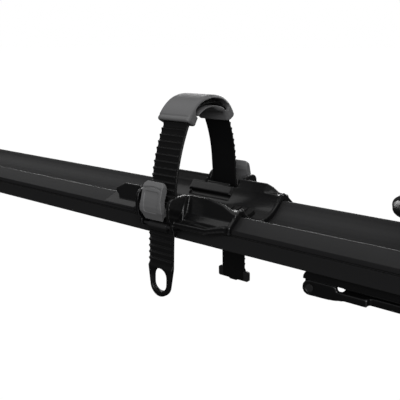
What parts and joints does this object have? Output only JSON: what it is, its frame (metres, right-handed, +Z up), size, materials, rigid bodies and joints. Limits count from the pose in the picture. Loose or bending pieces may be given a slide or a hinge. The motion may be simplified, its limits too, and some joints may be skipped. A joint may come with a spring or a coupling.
{
  "type": "roof mounted bike carrier",
  "caption": "Upright roof bike carrier: gutter rail on crossbar clamps, sliding wheel holder with ratchet strap, folding telescopic front arm and wheel cradle.",
  "frame": {"origin": "middle of the rear crossbar seat, on the underside of its rubber pad", "axes": "+X along the rail towards the front of the vehicle, +Y across to the side that carries the folding arm, +Z up"},
  "size_m": [1.4616, 0.1592, 0.1893],
  "materials": {
    "black_anodised": "satin black anodised",
    "black_plastic": "fine textured moulding",
    "grey_plastic": "satin moulding",
    "strap_polymer": "flexible, semi matt",
    "rubber": "matt",
    "black_steel": "black powder coat",
    "steel": "zinc plated"
  },
  "bodies": {
    "carrier": {"rail": "black_anodised", "rear_end_cap": "black_plastic", "front_end_cap": "black_plastic", "end_cap_screws": "steel", "rear_clamp_base": "black_plastic", "rear_seat_pad": "rubber", "rear_tbolts": "steel", "rear_clamp_nuts": "steel", "rear_jaw_pin": "black_steel", "rear_bolt_nut": "steel", "wheel_cradle": "black_plastic", "cradle_treads": "rubber", "cradle_screws": "steel", "pivot_axle": "steel", "pivot_nut": "steel", "hub_cap": "black_plastic", "chock_pins": "steel"},
    "rear_jaw": {"rear_jaw": "black_plastic", "rear_jaw_pad": "rubber"},
    "rear_knob": {"rear_clamp_knob": "black_plastic", "rear_clamp_bolt": "steel"},
    "front_clamp": {"front_clamp_base": "black_plastic", "front_seat_pad": "rubber", "front_tbolts": "steel", "front_clamp_nuts": "steel", "front_jaw_pin": "black_steel", "front_bolt_nut": "steel"},
    "front_jaw": {"front_jaw": "black_plastic", "front_jaw_pad": "rubber"},
    "front_knob": {"front_clamp_knob": "black_plastic", "front_clamp_bolt": "steel"},
    "wheel_holder": {"holder_body": "black_plastic", "holder_tread": "rubber", "strap": "strap_polymer", "near_lever_pin": "black_steel", "near_lever_spring": "steel", "near_pawl_pin": "black_steel", "far_lever_pin": "black_steel", "far_lever_spring": "steel", "far_pawl_pin": "black_steel"},
    "rim_protector": {"rim_protector": "grey_plastic"},
    "near_lever": {"near_lever": "grey_plastic"},
    "far_lever": {"far_lever": "grey_plastic"},
    "near_pawl": {"near_pawl": "black_steel"},
    "far_pawl": {"far_pawl": "black_steel"},
    "arm": {"arm_tube": "black_anodised", "pivot_bushes": "black_plastic", "ratchet_housing": "black_plastic", "pawl_pivot": "steel"},
    "arm_slide": {"arm_bar": "black_anodised", "hook": "black_steel", "hook_sleeve": "rubber"},
    "release_button": {"release_button": "grey_plastic", "release_spring": "steel"},
    "ratchet_pawl": {"ratchet_pawl": "steel"},
    "lock_core": {"lock_core": "steel"},
    "chock_hoop": {"chock_hoop": "black_steel", "chock_sleeve": "rubber"}
  },
  "joints": [
    {"name": "rear_jaw_hinge", "type": "hinge", "parent": "carrier", "child": "rear_jaw", "pos_m": [-0.1162, 0, -0.0043], "axis": [0, 1, 0], "range_deg": [0, 70]},
    {"name": "rear_knob_spin", "type": "hinge", "parent": "rear_jaw", "child": "rear_knob", "pos_m": [0.063, 0, -0.02], "axis": [0, 0, 1], "continuous": true},
    {"name": "front_clamp_slide", "type": "slide", "parent": "carrier", "child": "front_clamp", "axis": [1, 0, 0], "range_m": [-0.1, 0.08]},
    {"name": "front_jaw_hinge", "type": "hinge", "parent": "front_clamp", "child": "front_jaw", "pos_m": [0.4838, 0, -0.0044], "axis": [0, 1, 0], "range_deg": [0, 70]},
    {"name": "front_knob_spin", "type": "hinge", "parent": "front_jaw", "child": "front_knob", "pos_m": [0.663, 0, -0.02], "axis": [0, 0, 1], "continuous": true},
    {"name": "wheel_holder_slide", "type": "slide", "parent": "carrier", "child": "wheel_holder", "axis": [1, 0, 0], "range_m": [-0.3, 0.03]},
    {"name": "rim_protector_shift", "type": "hinge", "parent": "wheel_holder", "child": "rim_protector", "pos_m": [-0.248, -0.0045, 0.0965], "axis": [1, 0, 0], "range_deg": [-3, 3]},
    {"name": "near_lever_hinge", "type": "hinge", "parent": "wheel_holder", "child": "near_lever", "pos_m": [-0.248, -0.0562, 0.036], "axis": [1, 0, 0], "range_deg": [0, 50], "stiffness_Nm_per_rad": 0.03},
    {"name": "far_lever_hinge", "type": "hinge", "parent": "wheel_holder", "child": "far_lever", "pos_m": [-0.248, 0.0562, 0.036], "axis": [-1, 0, 0], "range_deg": [0, 50], "stiffness_Nm_per_rad": 0.03},
    {"name": "near_pawl_hinge", "type": "hinge", "parent": "wheel_holder", "child": "near_pawl", "pos_m": [-0.248, -0.0572, 0.024], "axis": [-1, 0, 0], "range_deg": [0, 12], "stiffness_Nm_per_rad": 0.005},
    {"name": "far_pawl_hinge", "type": "hinge", "parent": "wheel_holder", "child": "far_pawl", "pos_m": [-0.248, 0.0572, 0.024], "axis": [1, 0, 0], "range_deg": [0, 12], "stiffness_Nm_per_rad": 0.005},
    {"name": "arm_fold", "type": "hinge", "parent": "carrier", "child": "arm", "pos_m": [0.695, 0.0628, 0.062], "axis": [0, 1, 0], "range_deg": [0, 105]},
    {"name": "arm_extend", "type": "slide", "parent": "arm", "child": "arm_slide", "axis": [-1, 0, 0], "range_m": [-0.12, 0.04]},
    {"name": "release_button_press", "type": "slide", "parent": "arm", "child": "release_button", "axis": [0, -1, 0], "range_m": [0, 0.002], "stiffness_N_per_m": 600},
    {"name": "ratchet_pawl_lift", "type": "hinge", "parent": "arm", "child": "ratchet_pawl", "pos_m": [0.354, 0.0778, 0.062], "axis": [0, 0, 1], "range_deg": [0, 17.5]},
    {"name": "lock_turn", "type": "hinge", "parent": "arm", "child": "lock_core", "pos_m": [0.355, 0.0843, 0.0745], "axis": [1, 0, 0], "range_deg": [0, 90]},
    {"name": "chock_swing", "type": "hinge", "parent": "carrier", "child": "chock_hoop", "pos_m": [0.573, 0, 0.047], "axis": [0, 1, 0], "range_deg": [0, 70]}
  ],
  "couplings": [
    {"joint": "ratchet_pawl_lift", "follows": "release_button_press", "rad_per_m": 152}
  ]
}
